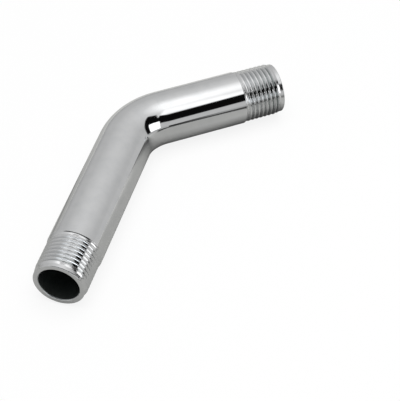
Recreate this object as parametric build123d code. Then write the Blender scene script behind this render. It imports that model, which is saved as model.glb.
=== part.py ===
from build123d import *
import math
import os

# A shower arm: one bent length of half-inch pipe with a tapered pipe thread cut on each end.
# It lies on its side. The origin is the centre of the inlet end face, +X runs along the inlet
# leg into the arm, the outlet leg turns towards -Y, and +Z is up. Millimetres and degrees.

# Pipe and its bend
pipe_diameter = 21.34
wall_thickness = 2.92
inlet_leg = 87.5  # inlet end face to the corner where the two axes cross
outlet_leg = 61.5  # that corner to the outlet end face
bend_angle = 52.5
bend_radius = 23.5  # on the pipe's axis

# Turned ends that carry the threads
thread_length = 16.6  # end face to the shoulder
shoulder_run = 0.35  # over which the turned end rises to the pipe
nose_length = 1.6  # plain nose ahead of the thread
nose_drop = 0.47  # how far the nose lies below the turned end
nose_taper = 0.05  # how far it narrows again towards its tip
nose_ramp = 1.2  # over which it rises to the turned end
tip_chamfer = 0.2  # outside edge of the nose
mouth_chamfer = 0.35  # inside edge of the waterway

# Tapered pipe thread
threads_per_inch = 14
diameter_taper = 1 / 16
flank_angle = 60
end_pitch_base = 1.1  # the pitch diameter at the end face lies below the pipe's by this many
end_pitch_growth = 0.05  # pitches, and by this many more for each inch of pipe
narrowest_crest = 0.17  # width of the crest where the thread begins
run_in = 2.2  # end face to where the thread begins
run_in_ramp = 1.0  # over which it reaches its full depth
run_out_ramp = 2.4  # over which it rises again towards the shoulder
run_out_gap = 0.3  # plain stretch left before the shoulder
root_clearance = 0.3  # between the sharp root and the metal that the tool never reaches
reach = 0.3  # how far cutting shapes stand out past the pipe
early_turn = 0.5  # of a turn that the cut runs past each end of the thread
inlet_begin_turn = 117  # where the root of each thread begins, round the axis from the top
outlet_begin_turn = 101

# Sizes that follow
inch = 25.4
pitch = inch / threads_per_inch
pipe_radius = pipe_diameter / 2
bore_radius = pipe_radius - wall_thickness
radius_taper = diameter_taper / 2
end_pitch_drop = (end_pitch_base + end_pitch_growth * pipe_diameter / inch) * pitch
end_pitch_radius = (pipe_diameter - end_pitch_drop) / 2
flank_spread = math.tan(math.radians(flank_angle / 2))
tangent_length = bend_radius * math.tan(math.radians(bend_angle / 2))


def pitch_radius(depth):
    """Radius of the thread's pitch cone at a depth from the end face."""
    return end_pitch_radius + depth * radius_taper


def flank_rise(flat):
    """Height from the pitch line to where a space or a crest is down to this width."""
    return (pitch / 4 - flat / 2) / flank_spread


def root_radius(depth):
    """Radius of the thread's sharp root at a depth from the end face."""
    return pitch_radius(depth) - flank_rise(0)


# The end is turned down to where the thread's crests begin
turned_radius = pitch_radius(run_in) + flank_rise(narrowest_crest)


def turned_pipe(length):
    """Straight pipe along +Z from its end face, with its nose, turned end and shoulder."""
    nose_radius = turned_radius - nose_drop
    tip_radius = nose_radius - nose_taper
    outline = Polyline(
        (bore_radius + mouth_chamfer, 0),
        (tip_radius - tip_chamfer, 0),
        (tip_radius, tip_chamfer),
        (nose_radius, nose_length),
        (turned_radius, nose_length + nose_ramp),
        (turned_radius, thread_length),
        (pipe_radius, thread_length + shoulder_run),
        (pipe_radius, length),
        (bore_radius, length),
        (bore_radius, mouth_chamfer),
        close=True,
    )
    return revolve(Plane.XZ * make_face(outline), Axis.Z)


def thread_core():
    """Metal that the thread never reaches: below its root, and more of it at both ends."""
    over = pipe_radius + reach
    full_from = run_in + run_in_ramp
    full_to = thread_length - run_out_gap - run_out_ramp
    inner = root_radius(full_from) - root_clearance
    outer = root_radius(full_to) - root_clearance
    inner_spread = run_in_ramp * (over - inner) / (turned_radius - inner)
    outer_spread = run_out_ramp * (over - outer) / (turned_radius - outer)
    outline = Polyline(
        (0, -2 * pitch),
        (over, -2 * pitch),
        (over, full_from - inner_spread),
        (inner, full_from),
        (outer, full_to),
        (over, full_to + outer_spread),
        (over, thread_length + 2 * pitch),
        (0, thread_length + 2 * pitch),
        close=True,
    )
    return revolve(Plane.XZ * make_face(outline), Axis.Z)


def helix(radius, start, rise, turns, taper):
    """A right-hand helix round the axis, its radius growing by the taper as it rises."""
    slope = math.atan(taper)
    return Helix(
        pitch=rise / turns / math.cos(slope),
        height=rise,
        radius=radius,
        center=(0, 0, start),
        cone_angle=math.degrees(slope),
    )


def thread_space():
    """The space between the turns: ruled from the helix at its root to the two at its top."""
    start = run_in - pitch * early_turn
    turns = (thread_length - run_in) / pitch + 2 * early_turn
    rise = turns * pitch
    top = pitch_radius(run_in) + flank_rise(narrowest_crest / 2)
    half_top = (top - root_radius(start)) * flank_spread
    narrowing = radius_taper * flank_spread
    root = helix(root_radius(start), start, rise, turns, radius_taper)
    near = helix(top, start - half_top, rise * (1 + narrowing), turns, 0)
    far = helix(top, start + half_top, rise * (1 - narrowing), turns, 0)
    flanks = [Face.make_surface_from_curves(root, near), Face.make_surface_from_curves(root, far)]
    lid = Face.make_surface_from_curves(near, far)
    ends = [make_face(Polyline(root @ end, near @ end, far @ end, close=True)).face() for end in (0, 1)]
    groove = Solid(Shell([*flanks, lid, *ends]))
    return groove - thread_core()


def threaded_leg(leg, begin_turn):
    """One straight leg, from its threaded end face to where the bend starts."""
    straight = turned_pipe(leg - tangent_length) - thread_space()
    return Rot(0, 0, begin_turn - 360 * early_turn) * straight


def bend():
    """The curved stretch: the pipe's section turned about the centre of the bend."""
    start = (inlet_leg - tangent_length, 0, 0)
    section = Circle(pipe_radius) - Circle(bore_radius)
    centre = Axis((start[0], -bend_radius, 0), (0, 0, -1))
    return revolve(Plane(origin=start, z_dir=(1, 0, 0)) * section, centre, bend_angle)


def shower_arm():
    """The whole arm, in the frame of its inlet end."""
    turn = math.radians(bend_angle)
    outlet_way = Vector(math.cos(turn), -math.sin(turn), 0)
    outlet_end = Vector(inlet_leg, 0, 0) + outlet_way * outlet_leg
    inlet_plane = Plane(origin=(0, 0, 0), x_dir=(0, 0, 1), z_dir=(1, 0, 0))
    outlet_plane = Plane(origin=outlet_end, x_dir=(0, 0, 1), z_dir=-outlet_way)
    inlet = inlet_plane * threaded_leg(inlet_leg, inlet_begin_turn)
    outlet = outlet_plane * threaded_leg(outlet_leg, outlet_begin_turn)
    return inlet + bend() + outlet


arm = shower_arm()
arm.label = "shower_arm"
os.makedirs("parts", exist_ok=True)
export_step(arm, "parts/shower_arm.step")
print("shower_arm volume", round(arm.volume, 1), "size", arm.bounding_box().size)
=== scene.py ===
import math

import bmesh
import bpy
import numpy as np
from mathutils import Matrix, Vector


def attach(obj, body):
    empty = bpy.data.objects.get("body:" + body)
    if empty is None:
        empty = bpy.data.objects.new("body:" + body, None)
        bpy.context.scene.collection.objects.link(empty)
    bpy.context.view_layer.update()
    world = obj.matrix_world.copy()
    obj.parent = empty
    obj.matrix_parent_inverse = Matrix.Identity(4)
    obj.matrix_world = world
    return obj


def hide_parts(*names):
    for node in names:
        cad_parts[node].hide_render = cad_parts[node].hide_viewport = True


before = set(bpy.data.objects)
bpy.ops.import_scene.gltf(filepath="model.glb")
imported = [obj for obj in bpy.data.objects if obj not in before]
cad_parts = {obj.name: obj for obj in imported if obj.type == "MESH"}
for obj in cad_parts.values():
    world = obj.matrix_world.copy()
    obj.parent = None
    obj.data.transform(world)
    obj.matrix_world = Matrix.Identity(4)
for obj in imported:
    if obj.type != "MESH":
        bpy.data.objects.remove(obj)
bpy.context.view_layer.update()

mm = 0.001
print("stage 1: the packed arm is loaded")

# The arm: a bent pipe with a tapered pipe thread on each end. Millimetres and degrees.
arm = {
    "pipeRadius": 10.67,
    "boreRadius": 7.75,
    "inletLeg": 87.5,  # inlet end face to the corner where the two axes cross
    "outletLeg": 61.5,  # that corner to the outlet end face
    "bendAngle": 52.5,
    "bendRadius": 23.5,
    "turnedRadius": 10.34,  # the ends are turned down to this before threading
    "threadLength": 16.6,  # end face to the shoulder
    "shoulderRun": 0.35,
    "noseLength": 1.6,  # plain nose ahead of each thread
    "noseDrop": 0.47,  # below the turned end
    "noseTaper": 0.05,
    "noseRamp": 1.2,  # over which it rises to the turned end
    "rampSoftness": 0.08,
    "tipChamfer": 0.2,
    "mouthChamfer": 0.35,
    "edgeSoftness": 0.07,  # how far the plating rounds each edge
    "endSoftness": (1.3, 0.8, 0.8, 0.9, 0.9),  # shares of it, from the nose's ramp to the bore
    "cornerPoints": 5,  # along each rounded edge
    "cornerGuard": 2.2,  # softnesses from the edge to the row that keeps the rest flat
    "besideStep": 3,  # plain pipe laid out past each step and end
    "besideBend": (0.4, 1, 3),  # rows that keep the legs straight up to the bend
    "columns": 200,  # round the axis
    "bendRows": 60,
    "weld": 1e-6,  # metres
}
# The thread cut into each end
thread = {
    "pitch": 25.4 / 14,
    "rootRadius": 8.85,  # sharp root at the end face
    "radiusTaper": 1 / 32,
    "flankAngle": 30,  # each flank from square to the axis
    "runIn": 2.2,  # depths where the thread begins and ends, and how steeply it does
    "runInSlope": 1.69,
    "runOut": 16.3,
    "runOutSlope": 0.57,
    "rootSoftness": 0.08,  # how far root and crests are rounded
    "crestSoftness": 0.10,
    "inletTurn": 117,  # where the root passes the depth runIn, round the axis from the top
    "outletTurn": 101,
    "grooveRows": (0, 0.09, 0.22, 0.5, 0.76, 0.9, 1),  # shares of the groove's half width
    "crestRows": (0.35, 1),  # and of the crest's
    "from": 1.9,  # the stretch that is laid out along the helix
    "to": 16.42,
    "fade": 0.12,  # over which the cut begins and ends in it
}


def softMin(a, b, softness):
    # half of: sum less the root of (difference squared plus softness squared)
    return (a + b - np.sqrt((a - b) ** 2 + softness ** 2)) / 2


def softMax(a, b, softness):
    # half of: sum plus the same root
    return (a + b + np.sqrt((a - b) ** 2 + softness ** 2)) / 2


def ease(x):
    # three x squared less two x cubed, between 0 and 1
    x = np.clip(x, 0, 1)
    return x * x * (3 - 2 * x)


def bendStations(p):
    # distances along the pipe's axis where the bend starts and ends, and its whole length
    turn = math.radians(p["bendAngle"])
    tangent = p["bendRadius"] * math.tan(turn / 2)
    start = p["inletLeg"] - tangent
    end = start + p["bendRadius"] * turn
    return start, end, end + p["outletLeg"] - tangent


def alongArm(p, s, a, r):
    # Point at distance s along the axis, angle a round it from the top and radius r:
    # axis point plus r times (cosine of a upwards plus sine of a sideways), where the axis
    # runs straight, turns on the bend radius by (s - start) / radius, and runs straight again
    start, end, _ = bendStations(p)
    turned = np.clip((s - start) / p["bendRadius"], 0, math.radians(p["bendAngle"]))
    beyond = np.maximum(s - end, 0)
    x = np.minimum(s, start) + p["bendRadius"] * np.sin(turned) + beyond * np.cos(turned)
    y = -p["bendRadius"] * (1 - np.cos(turned)) - beyond * np.sin(turned)
    aside = r * np.sin(a)
    return np.stack([x - aside * np.sin(turned), y - aside * np.cos(turned), r * np.cos(a)], -1)


def blankRadius(p, z):
    # the lesser of the turned end and the ramp that rises to it from the nose
    nose = p["turnedRadius"] - p["noseDrop"]
    ramp = nose + p["noseDrop"] * (z - p["noseLength"]) / p["noseRamp"]
    return softMin(ramp, p["turnedRadius"], p["rampSoftness"])


def softProfile(p, points, shares=1):
    # Each corner becomes a short quadratic curve between points one softness before and after it,
    # with a row further out on both sides that keeps the flat stretches flat
    points = np.array(points, float)
    corner = points[1:-1, None]
    back = points[:-2, None] - corner
    ahead = points[2:, None] - corner
    back /= np.linalg.norm(back, axis=-1, keepdims=True)
    ahead /= np.linalg.norm(ahead, axis=-1, keepdims=True)
    softness = np.broadcast_to(p["edgeSoftness"] * np.array(shares), len(corner))[:, None, None]
    t = np.linspace(0, 1, p["cornerPoints"])[None, :, None]
    curve = corner + softness * ((1 - t) ** 2 * back + t ** 2 * ahead)
    guard = p["cornerGuard"] * softness
    rows = np.concatenate([corner + guard * back, curve, corner + guard * ahead], axis=1)
    return np.concatenate([points[:1], rows.reshape(-1, 2), points[-1:]])


def roundTheAxis(p, profile):
    # Rings: each row of the profile (distance along, radius) carried once round the axis
    a = np.linspace(0, 2 * math.pi, p["columns"] + 1)[None, :]
    s = np.broadcast_to(profile[:, :1], (len(profile), a.shape[1]))
    r = np.broadcast_to(profile[:, 1:], s.shape)
    return s, np.broadcast_to(a, s.shape), r, np.zeros(s.shape)


def threadedStretch(p, t, firstTurn):
    # Rows follow the helix: depth = groove's middle + pitch times turns round + the row's own
    # share of the groove or of the crest beside it, held between from and to.
    # The radius is the lesser of the blank and the groove, and the groove is the greater of
    # its two flanks (root + distance from the groove's middle / tan of the flank) and the ramps
    # that lift the tool out at both ends
    pitch = t["pitch"]
    a = np.linspace(0, 2 * math.pi, p["columns"] + 1)[None, :]
    middle = t["runIn"] - pitch * firstTurn / 360
    flank = math.tan(math.radians(t["flankAngle"]))
    crests = len(t["crestRows"])
    inGroove = np.array(t["grooveRows"] + (1,) * crests)
    onCrest = np.array((0,) * len(t["grooveRows"]) + t["crestRows"])
    inGroove = np.concatenate([-inGroove[-2:0:-1], inGroove])[None, :, None]
    onCrest = np.concatenate([-onCrest[-2:0:-1], onCrest])[None, :, None]
    first = math.floor((t["from"] - middle) / pitch) - 1
    last = math.ceil((t["to"] - middle) / pitch)
    centre = middle + pitch * (np.arange(first, last + 1)[:, None, None] + a / (2 * math.pi))
    root = t["rootRadius"] + t["radiusTaper"] * np.clip(centre, t["from"], t["to"])
    halfWidth = (p["turnedRadius"] - root) * flank
    z = centre + inGroove * halfWidth + onCrest * (pitch / 2 - halfWidth)
    z = np.clip(z.reshape(-1, a.shape[1]), t["from"], t["to"])
    off = (z - middle - pitch * a / (2 * math.pi)) / pitch
    off = np.abs(off - np.round(off)) * pitch
    root = t["rootRadius"] + t["radiusTaper"] * z
    groove = root + np.sqrt(off ** 2 + t["rootSoftness"] ** 2) / flank
    blank = blankRadius(p, z)
    deepest = p["turnedRadius"] - t["rootRadius"]
    rampIn = p["turnedRadius"] - t["runInSlope"] * (z - t["runIn"])
    rampOut = p["turnedRadius"] - t["runOutSlope"] * (t["runOut"] - z)
    groove = softMax(groove, np.maximum(rampIn, rampOut), t["crestSoftness"])
    cut = blank - softMin(groove, blank, t["crestSoftness"])
    cut *= ease((z - t["from"]) / t["fade"]) * ease((t["to"] - z) / t["fade"])
    return z, np.broadcast_to(a, z.shape), blank - cut, cut / deepest


def armPatches(p, t):
    # Grids of (distance along, angle, radius, share of the cut) that together close the skin
    start, end, length = bendStations(p)
    shoulder = p["threadLength"]
    # outside: from the inlet thread over both shoulders and the bend to the outlet thread
    beside = np.array(p["besideBend"])
    onBend = np.linspace(start, end, p["bendRows"] + 1)
    nearBend = np.concatenate([start - beside[::-1], onBend, end + beside])
    inletStep = softProfile(p, [
        (t["to"], blankRadius(p, t["to"])),
        (shoulder, p["turnedRadius"]),
        (shoulder + p["shoulderRun"], p["pipeRadius"]),
        (shoulder + p["besideStep"], p["pipeRadius"]),
    ])
    outletStep = inletStep[::-1] * (-1, 1) + (length, 0)
    bend = np.stack([nearBend, np.full(nearBend.shape, p["pipeRadius"])], -1)
    outside = roundTheAxis(p, np.concatenate([inletStep, bend, outletStep]))
    # ends and waterway: outlet nose, outlet face, back through the bore, inlet face, inlet nose
    nose = p["turnedRadius"] - p["noseDrop"]
    tip = nose - p["noseTaper"]
    mouth = p["boreRadius"] + p["mouthChamfer"]
    outletEnd = softProfile(p, [
        (length - t["from"], blankRadius(p, t["from"])),
        (length - p["noseLength"], nose),
        (length - p["tipChamfer"], tip),
        (length, tip - p["tipChamfer"]),
        (length, mouth),
        (length - p["mouthChamfer"], p["boreRadius"]),
        (length - p["besideStep"], p["boreRadius"]),
    ], p["endSoftness"])
    inletEnd = outletEnd[::-1] * (-1, 1) + (length, 0)
    boreRows = onBend[::-2]
    bore = np.stack([boreRows, np.full(boreRows.shape, p["boreRadius"])], -1)
    waterway = roundTheAxis(p, np.concatenate([outletEnd, bore, inletEnd]))
    # the two threads, the outlet's laid out from its own end face
    inlet = threadedStretch(p, t, t["inletTurn"])
    z, a, r, cut = threadedStretch(p, t, t["outletTurn"])
    outlet = (length - z, -a, r, cut)
    return [outside, waterway, inlet, outlet]


def buildArm(p, t, c):
    # each patch's grid is carried onto the arm, and its masks are stored at its points
    points, faces, unbent, cuts, bores, turneds = [], [], [], [], [], []
    count = 0
    length = bendStations(p)[2]
    for s, a, r, cut in armPatches(p, t):
        rows, columns = s.shape
        index = count + np.arange(rows * columns).reshape(rows, columns)
        corners = [index[:-1, :-1], index[:-1, 1:], index[1:, 1:], index[1:, :-1]]
        faces.append(np.stack(corners, -1).reshape(-1, 4))
        points.append(alongArm(p, s, a, r).reshape(-1, 3))
        straight = np.stack([s, r * np.cos(a), r * np.sin(a)], -1)
        unbent.append(straight.reshape(-1, 3))
        cuts.append(cut.ravel())
        bores.append(ease((p["boreRadius"] + c["boreReach"] - r) / c["boreFade"]).ravel())
        depth = np.minimum(s, length - s)
        turned = (p["threadLength"] + c["turnedReach"] - depth) / c["turnedFade"]
        turneds.append(ease(turned).ravel())
        count += rows * columns
    mesh = bpy.data.meshes.new("armSkin")
    mesh.from_pydata(np.concatenate(points) * mm, [], np.concatenate(faces).tolist())
    # where each point lies on the pipe when it is straight, in metres
    layer = mesh.attributes.new("unbent", "FLOAT_VECTOR", "POINT")
    layer.data.foreach_set("vector", (np.concatenate(unbent) * mm).ravel())
    for name, values in (("threadCut", cuts), ("inBore", bores), ("turnedEnd", turneds)):
        layer = mesh.attributes.new(name, "FLOAT", "POINT")
        layer.data.foreach_set("value", np.concatenate(values))
    # weld the patches, the seam and the rows held at each end of the threads
    work = bmesh.new()
    work.from_mesh(mesh)
    bmesh.ops.remove_doubles(work, verts=work.verts, dist=p["weld"])
    work.to_mesh(mesh)
    openEdges = sum(1 for edge in work.edges if len(edge.link_faces) != 2)
    work.free()
    mesh.shade_smooth()
    piece = bpy.data.objects.new("armSkin", mesh)
    bpy.context.scene.collection.objects.link(piece)
    triangles = sum(len(face.vertices) - 2 for face in mesh.polygons)
    print("stage 2: arm skin of", triangles, "triangles with", openEdges, "open edges")
    return piece


# Chrome plate, and the duller plate inside the waterway
chrome = {
    "colour": (0.725, 0.73, 0.735),
    "shade": (0.685, 0.693, 0.70),
    "boreColour": (0.24, 0.27, 0.265),
    # painted shade: a dark greenish grey for the thread roots, where shade falls in the grooves
    "rootShadeColour": (0.15, 0.19, 0.18),
    "rootShadeRange": (0.45, 1),  # share of the thread's depth where the painted root shade comes in
    "polishSize": 260,  # per metre, clouds left by buffing
    "polishDetail": 3,
    "polishRange": (0.35, 0.7),  # of the noise, stretched to the whole range
    "lineSize": 2600,  # per metre, fine lines along the pipe
    "lineDetail": 2,
    "lineStretch": (0.03, 1, 1),
    "smoothest": 0.035,
    "roughest": 0.075,
    "turnedRoughness": 0.17,  # nose, end face and shoulder, as the lathe leaves them
    "turnedLines": 9000,  # per metre, across the fine lines of the lathe
    "turnedDetail": 1,
    "turnedDepth": 2.2e-6,  # metres
    "turnedReach": 0.6,  # mm past the shoulder
    "turnedFade": 0.3,
    "threadRoughness": 0.09,
    "threadRange": (0.02, 0.3),  # share of the thread's depth where it comes in
    "boreRoughness": 0.34,
    "boreMetal": 0.95,  # the rest of it is matt
    "boreReach": 0.2,  # mm out from the bore
    "boreFade": 0.15,
    "ripple": 0.004,  # strength of the bump that clouds and lines give
    "rippleDepth": 0.0005,
}


def addNode(nodes, kind, **values):
    node = nodes.new(kind)
    for name, value in values.items():
        setattr(node, name, value)
    return node


def setSocket(links, socket, value):
    # a link from another socket, a colour or a number
    if isinstance(value, bpy.types.NodeSocket):
        links.new(value, socket)
    elif isinstance(value, tuple):
        socket.default_value = (*value, 1)
    else:
        socket.default_value = value


def mixColour(nodes, links, factor, first, second):
    node = addNode(nodes, "ShaderNodeMix", data_type="RGBA")
    for number, value in ((0, factor), (6, first), (7, second)):
        setSocket(links, node.inputs[number], value)
    return node.outputs[2]


def mixNumber(nodes, links, factor, first, second):
    node = addNode(nodes, "ShaderNodeMix", data_type="FLOAT")
    for number, value in ((0, factor), (2, first), (3, second)):
        setSocket(links, node.inputs[number], value)
    return node.outputs[0]


def rangeOf(nodes, links, value, fromRange, toRange=(0, 1)):
    node = addNode(nodes, "ShaderNodeMapRange")
    links.new(value, node.inputs["Value"])
    for name, number in zip(("From Min", "From Max", "To Min", "To Max"), (*fromRange, *toRange)):
        node.inputs[name].default_value = number
    return node.outputs["Result"]


def scaledBy(nodes, links, place, factors):
    node = addNode(nodes, "ShaderNodeVectorMath", operation="MULTIPLY")
    node.inputs[1].default_value = factors
    links.new(place, node.inputs[0])
    return node.outputs["Vector"]


def noiseAt(nodes, links, place, scale, detail, dimensions="3D"):
    node = addNode(nodes, "ShaderNodeTexNoise", noise_dimensions=dimensions)
    node.inputs["Scale"].default_value = scale
    node.inputs["Detail"].default_value = detail
    links.new(place, node.inputs["Vector"])
    return node.outputs["Fac"]


def newMaterial(name):
    material = bpy.data.materials.new(name)
    material.use_nodes = True
    return material, material.node_tree.nodes, material.node_tree.links


def chromePlate(c):
    material, nodes, links = newMaterial("chromePlate")
    shader = nodes["Principled BSDF"]
    unbent = addNode(nodes, "ShaderNodeAttribute", attribute_name="unbent").outputs["Vector"]
    masks = [
        addNode(nodes, "ShaderNodeAttribute", attribute_name=name).outputs["Fac"]
        for name in ("threadCut", "inBore", "turnedEnd")
    ]
    threadCut, inBore, turnedEnd = masks
    # clouds from buffing, and fine lines that run along the pipe
    clouds = noiseAt(nodes, links, unbent, c["polishSize"], c["polishDetail"])
    stretched = scaledBy(nodes, links, unbent, c["lineStretch"])
    lines = noiseAt(nodes, links, stretched, c["lineSize"], c["lineDetail"])
    # colour: bright plate, a little deeper in the clouds, painted shade darkening the thread
    # roots, and dark in the bore
    cloudy = rangeOf(nodes, links, clouds, c["polishRange"])
    plate = mixColour(nodes, links, cloudy, c["colour"], c["shade"])
    # painted shade: the plate darkens towards the thread roots
    deep = rangeOf(nodes, links, threadCut, c["rootShadeRange"])
    plate = mixColour(nodes, links, deep, plate, c["rootShadeColour"])
    plate = mixColour(nodes, links, inBore, plate, c["boreColour"])
    links.new(plate, shader.inputs["Base Color"])
    links.new(mixNumber(nodes, links, inBore, 1, c["boreMetal"]), shader.inputs["Metallic"])
    # lathe lines run round the axis: a noise of the depth and the radius alone
    radius = addNode(nodes, "ShaderNodeVectorMath", operation="LENGTH")
    links.new(scaledBy(nodes, links, unbent, (0, 1, 1)), radius.inputs[0])
    depth = addNode(nodes, "ShaderNodeSeparateXYZ")
    links.new(unbent, depth.inputs[0])
    place = addNode(nodes, "ShaderNodeCombineXYZ")
    links.new(depth.outputs["X"], place.inputs["X"])
    links.new(radius.outputs["Value"], place.inputs["Y"])
    place = place.outputs["Vector"]
    lathe = noiseAt(nodes, links, place, c["turnedLines"], c["turnedDetail"], "2D")
    # roughness: polished, with its lines; turned and cut metal and the bore are duller
    fine = mixNumber(nodes, links, 0.5, clouds, lines)
    rough = rangeOf(nodes, links, fine, c["polishRange"], (c["smoothest"], c["roughest"]))
    rough = mixNumber(nodes, links, turnedEnd, rough, c["turnedRoughness"])
    inThread = rangeOf(nodes, links, threadCut, c["threadRange"])
    rough = mixNumber(nodes, links, inThread, rough, c["threadRoughness"])
    rough = mixNumber(nodes, links, inBore, rough, c["boreRoughness"])
    links.new(rough, shader.inputs["Roughness"])
    bump = addNode(nodes, "ShaderNodeBump")
    bump.inputs["Strength"].default_value = c["ripple"]
    bump.inputs["Distance"].default_value = c["rippleDepth"]
    links.new(fine, bump.inputs["Height"])
    scored = addNode(nodes, "ShaderNodeBump")
    scored.inputs["Distance"].default_value = c["turnedDepth"]
    links.new(turnedEnd, scored.inputs["Strength"])
    links.new(lathe, scored.inputs["Height"])
    links.new(bump.outputs["Normal"], scored.inputs["Normal"])
    links.new(scored.outputs["Normal"], shader.inputs["Normal"])
    return material


armSkin = buildArm(arm, thread, chrome)
armSkin.data.materials.append(chromePlate(chrome))
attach(armSkin, "root")
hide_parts("shower_arm")
print("stage 3: chrome plate is on")

# The studio: a pale floor under a soft tent, with a dark strip that gives the metal its bands.
# Directions are degrees: azimuth from +X towards +Y, and height above the horizon. Lengths are
# metres. What metal mirrors of the floor is darker than what the camera sees of it.
studio = {
    "centre": (0.06, -0.03),
    "floorHeight": -10.67 * mm,
    "floorRadius": 0.20,
    "floorSteps": (86, 181),  # rings and spokes
    "paper": (0.90, 0.90, 0.90),
    "paperRoughness": 0.9,
    "paperShine": 0.1,
    "mirrored": 0.41,  # the floor's grey in metal on the left,
    "mirroredFar": 0.60,  # on the right,
    "farStart": 0.06,
    "farRun": 0.11,
    "contactShadowInMetal": 0.22,  # a painted shadow along the outlet leg,
    "contactGap": 0.004,
    "contactRun": 0.020,  # in front of it
    "contactBack": 0.010,  # and behind it
    "endShadowInMetal": 0.04,  # a darker painted shadow along its threaded end,
    "endStart": 0.020,
    "endRun": 0.045,
    "mirroredFront": 0.02,  # and in front of a slanting edge: y = front edge + slope times x
    "frontEdge": -0.112,
    "frontSlope": 0.35,
    "frontSoftness": 0.008,
    "frontEnd": 0.095,  # it goes as far as this towards +X
    "frontFade": 0.02,
    "mirroredTint": (1.0, 1.0, 0.97),
    "cameraWhite": 0.86,  # share of plain white that the camera sees of the floor,
    "glossWhite": 0.04,  # and that metal and glass see
    "ambient": 0.40,
    "lampPower": 7.2,
    "lampSize": 0.9,
    "lampPlace": (0.05, -0.12, 0.9),
    "tentRadius": 1.5,
    "tentSteps": (197, 361),  # rows and spokes
    "heights": (-8, 0, 8, 25, 48, 57, 65, 72, 90),
    "greys": (0.44, 0.50, 0.57, 0.60, 0.74, 0.83, 1.10, 1.42, 1.42),
    "cool": (0.94, 1.0, 1.05),  # tint of the cards that are a little blue
    "cards": (
        # beside the inlet leg, and in front above the floor
        {"glow": 0.62, "azimuth": (303, 345), "height": (-12, 14), "soft": (5, 9)},
        {"glow": 0.62, "azimuth": (206, 300), "height": (2, 24), "soft": (6, 3)},
        # dark line just above the floor's front edge
        {"glow": 0.04, "azimuth": (224, 235), "height": (-12, 2.2), "soft": (3, 1.2)},
        # dimmer behind the camera and straight overhead
        {"glow": 0.42, "azimuth": (128, 240), "height": (40, 88), "soft": (14, 8)},
        {"glow": 0.70, "azimuth": (-90, 450), "height": (78.5, 100), "soft": (10, 4)},
        # white stripe of the outlet leg
        {"glow": 1.42, "azimuth": (240, 262), "height": (50, 90), "soft": (16, 5)},
        # dark strip, its bulge and its notch at the bend
        {"glow": 0.004, "azimuth": (192, 305), "height": (20.5, 49), "soft": (3, 3.5)},
        {"glow": 0.004, "azimuth": (274, 305), "height": (42, 53), "soft": (5, 3.5)},
        {"glow": 0.85, "azimuth": (264, 269), "height": (44, 54), "soft": (4, 4)},
        # dark line of the inlet's shoulder
        {"glow": 0.02, "azimuth": (126, 198), "height": (30, 43), "soft": (8, 5)},
        # white window at the bend, with a dark frame on one side
        {"glow": 0.004, "azimuth": (293, 305), "height": (1, 30), "soft": (2, 3)},
        {"glow": 2.0, "azimuth": (260, 292), "height": (2, 28), "soft": (4, 3)},
        # light marks on the threads' flanks
        {"glow": 1.5, "azimuth": (158, 203), "height": (1, 17), "soft": (14, 5), "tint": "cool"},
        {"glow": 2.6, "azimuth": (183, 203), "height": (1, 13), "soft": (10, 4), "tint": "cool"},
    ),
}


def window(value, low, high, soft):
    # 1 between low and high and 0 outside them, eased over soft with its middle on each
    return ease((value - low) / soft + 0.5) * ease((high - value) / soft + 0.5)


def inCard(card, azimuth, height):
    around = window(azimuth, *card["azimuth"], card["soft"][0])
    return around * window(height, *card["height"], card["soft"][1])


def tentGlow(st, azimuth, height):
    # grey by height, then each card covers what lies behind it
    glow = np.repeat(np.interp(height, st["heights"], st["greys"])[..., None], 3, -1)
    for card in st["cards"]:
        cover = inCard(card, azimuth, height)[..., None]
        tint = st[card["tint"]] if "tint" in card else (1, 1, 1)
        glow = glow * (1 - cover) + card["glow"] * np.array(tint) * cover
    return glow


def gridObject(name, points, layerName, values):
    # a four-sided face between each four neighbours of a grid, and a vector stored at each point
    index = np.arange(points[..., 0].size).reshape(points.shape[:2])
    corners = [index[:-1, :-1], index[1:, :-1], index[1:, 1:], index[:-1, 1:]]
    mesh = bpy.data.meshes.new(name)
    mesh.from_pydata(points.reshape(-1, 3), [], np.stack(corners, -1).reshape(-1, 4).tolist())
    layer = mesh.attributes.new(layerName, "FLOAT_VECTOR", "POINT")
    layer.data.foreach_set("vector", values.ravel())
    piece = bpy.data.objects.new(name, mesh)
    bpy.context.scene.collection.objects.link(piece)
    return piece


def buildTent(st):
    # Part of a sphere: radius times (cos height cos azimuth, cos height sin azimuth, sin height)
    rows, spokes = st["tentSteps"]
    height = np.linspace(st["heights"][0], st["heights"][-1], rows)[:, None]
    azimuth, height = np.broadcast_arrays(np.linspace(0, 360, spokes)[None, :], height)
    az, el = np.radians(azimuth), np.radians(height)
    way = np.stack([np.cos(el) * np.cos(az), np.cos(el) * np.sin(az), np.sin(el)], -1)
    points = st["tentRadius"] * way + np.array([*st["centre"], 0])
    tent = gridObject("studioTent", points, "glow", tentGlow(st, azimuth, height))
    material, nodes, links = newMaterial("tentCloth")
    nodes.remove(nodes["Principled BSDF"])
    glow = addNode(nodes, "ShaderNodeAttribute", attribute_name="glow")
    emission = addNode(nodes, "ShaderNodeEmission")
    links.new(glow.outputs["Vector"], emission.inputs["Color"])
    links.new(emission.outputs["Emission"], nodes["Material Output"].inputs["Surface"])
    tent.data.materials.append(material)
    # only the metal sees the tent: the camera sees the plain background behind it
    tent.visible_camera = False
    tent.visible_diffuse = False
    tent.visible_shadow = False
    tent.visible_volume_scatter = False


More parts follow.
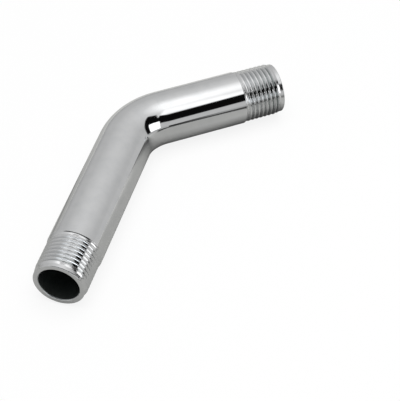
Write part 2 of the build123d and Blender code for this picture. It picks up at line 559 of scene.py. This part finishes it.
def whiteShare(nodes, links, cameraShare, glossShare):
    # how much plain white each kind of ray sees
    path = addNode(nodes, "ShaderNodeLightPath")
    gloss = addNode(nodes, "ShaderNodeMath", operation="MAXIMUM")
    links.new(path.outputs["Is Glossy Ray"], gloss.inputs[0])
    links.new(path.outputs["Is Transmission Ray"], gloss.inputs[1])
    glossPart = addNode(nodes, "ShaderNodeMath", operation="MULTIPLY")
    links.new(gloss.outputs[0], glossPart.inputs[0])
    glossPart.inputs[1].default_value = glossShare
    total = addNode(nodes, "ShaderNodeMath", operation="MULTIPLY_ADD")
    links.new(path.outputs["Is Camera Ray"], total.inputs[0])
    total.inputs[1].default_value = cameraShare
    links.new(glossPart.outputs[0], total.inputs[2])
    return total.outputs[0]


def floorInMetal(st, x, y):
    # The floor's grey in metal rises towards +X; a painted shadow then darkens it near the outlet
    # leg's line, more so at its threaded end, and it falls in front of the slanting edge
    front = ease((st["frontSlope"] * x + st["frontEdge"] - y) / st["frontSoftness"])
    front *= ease((st["frontEnd"] - x) / st["frontFade"])
    far = ease((x - st["farStart"]) / st["farRun"])
    grey = st["mirrored"] + (st["mirroredFar"] - st["mirrored"]) * far
    # distances from the corner of the two axes: in front of the outlet leg, and along it
    turn = math.radians(arm["bendAngle"])
    x = x - arm["inletLeg"] * mm
    before = -x * math.sin(turn) - y * math.cos(turn) - st["contactGap"]
    along = x * math.cos(turn) - y * math.sin(turn)
    # painted shadow of the outlet leg on the floor, deeper towards its threaded end
    toEnd = ease((along - st["endStart"]) / st["endRun"])
    contact = st["contactShadowInMetal"] + (st["endShadowInMetal"] - st["contactShadowInMetal"]) * toEnd
    clear = np.maximum(ease(before / st["contactRun"]), ease(-before / st["contactBack"]))
    grey = contact + (grey - contact) * clear
    grey += (st["mirroredFront"] - grey) * front
    return grey[..., None] * np.array(st["mirroredTint"])


def buildFloor(st):
    # a round sheet: each ring's radius times (cosine, sine) of each spoke, at the floor's height
    rings, spokes = st["floorSteps"]
    turn = np.linspace(0, 2 * math.pi, spokes)[None, :]
    radius = np.linspace(0, st["floorRadius"], rings)[:, None]
    x = st["centre"][0] + radius * np.cos(turn)
    y = st["centre"][1] + radius * np.sin(turn)
    points = np.stack([x, y, np.full(x.shape, st["floorHeight"])], -1)
    floor = gridObject("studioFloor", points, "inMetal", floorInMetal(st, x, y))
    material, nodes, links = newMaterial("floorPaper")
    paper = nodes["Principled BSDF"]
    path = addNode(nodes, "ShaderNodeLightPath")
    inMetal = addNode(nodes, "ShaderNodeAttribute", attribute_name="inMetal").outputs["Vector"]
    # metal sees the floor's grey in metal, with the painted shadow of the outlet leg
    sheet = mixColour(nodes, links, path.outputs["Is Glossy Ray"], st["paper"], inMetal)
    links.new(sheet, paper.inputs["Base Color"])
    paper.inputs["Roughness"].default_value = st["paperRoughness"]
    paper.inputs["Specular IOR Level"].default_value = st["paperShine"]
    white = addNode(nodes, "ShaderNodeEmission")
    mix = addNode(nodes, "ShaderNodeMixShader")
    links.new(whiteShare(nodes, links, st["cameraWhite"], st["glossWhite"]), mix.inputs[0])
    links.new(paper.outputs["BSDF"], mix.inputs[1])
    links.new(white.outputs["Emission"], mix.inputs[2])
    links.new(mix.outputs["Shader"], nodes["Material Output"].inputs["Surface"])
    floor.data.materials.append(material)


def lightWorld(st):
    # plain white for the camera, metal and glass, and a weaker even light for all else
    world = bpy.data.worlds.new("studioWorld")
    bpy.context.scene.world = world
    world.use_nodes = True
    nodes, links = world.node_tree.nodes, world.node_tree.links
    share = whiteShare(nodes, links, 1, 1)
    level = rangeOf(nodes, links, share, (0, 1), (st["ambient"], 1))
    links.new(level, nodes["Background"].inputs["Strength"])
    nodes["Background"].inputs["Color"].default_value = (1, 1, 1, 1)


def hangLamp(st):
    data = bpy.data.lights.new("softLamp", "AREA")
    data.shape = "DISK"
    data.size = st["lampSize"]
    data.energy = st["lampPower"]
    lamp = bpy.data.objects.new("softLamp", data)
    lamp.location = st["lampPlace"]
    lamp.visible_glossy = False
    bpy.context.scene.collection.objects.link(lamp)


buildTent(studio)
buildFloor(studio)
lightWorld(studio)
hangLamp(studio)
print("stage 4: the studio is lit")

# The photograph's viewpoint, fitted to the arm's outline
view = {
    "target": (54.30, -36.90, 0.0),  # millimetres, as the distance
    "azimuth": 195.92,
    "elevation": 45.77,
    "distance": 515.8,
    "lens": 123.04,
    "sensorWidth": 36.0,
    "clip": (0.01, 20),  # metres
}


def aimCamera(v):
    az, el = math.radians(v["azimuth"]), math.radians(v["elevation"])
    away = Vector((math.cos(el) * math.cos(az), math.cos(el) * math.sin(az), math.sin(el)))
    data = bpy.data.cameras.new("photoCamera")
    data.lens = v["lens"]
    data.sensor_fit = "HORIZONTAL"
    data.sensor_width = v["sensorWidth"]
    data.clip_start, data.clip_end = v["clip"]
    camera = bpy.data.objects.new("photoCamera", data)
    camera.location = (Vector(v["target"]) + away * v["distance"]) * mm
    camera.rotation_euler = (-away).to_track_quat("-Z", "Y").to_euler()
    bpy.context.scene.collection.objects.link(camera)
    bpy.context.scene.camera = camera


aimCamera(view)
bpy.context.scene.view_settings.view_transform = "Standard"
print("stage 5: the camera is aimed")
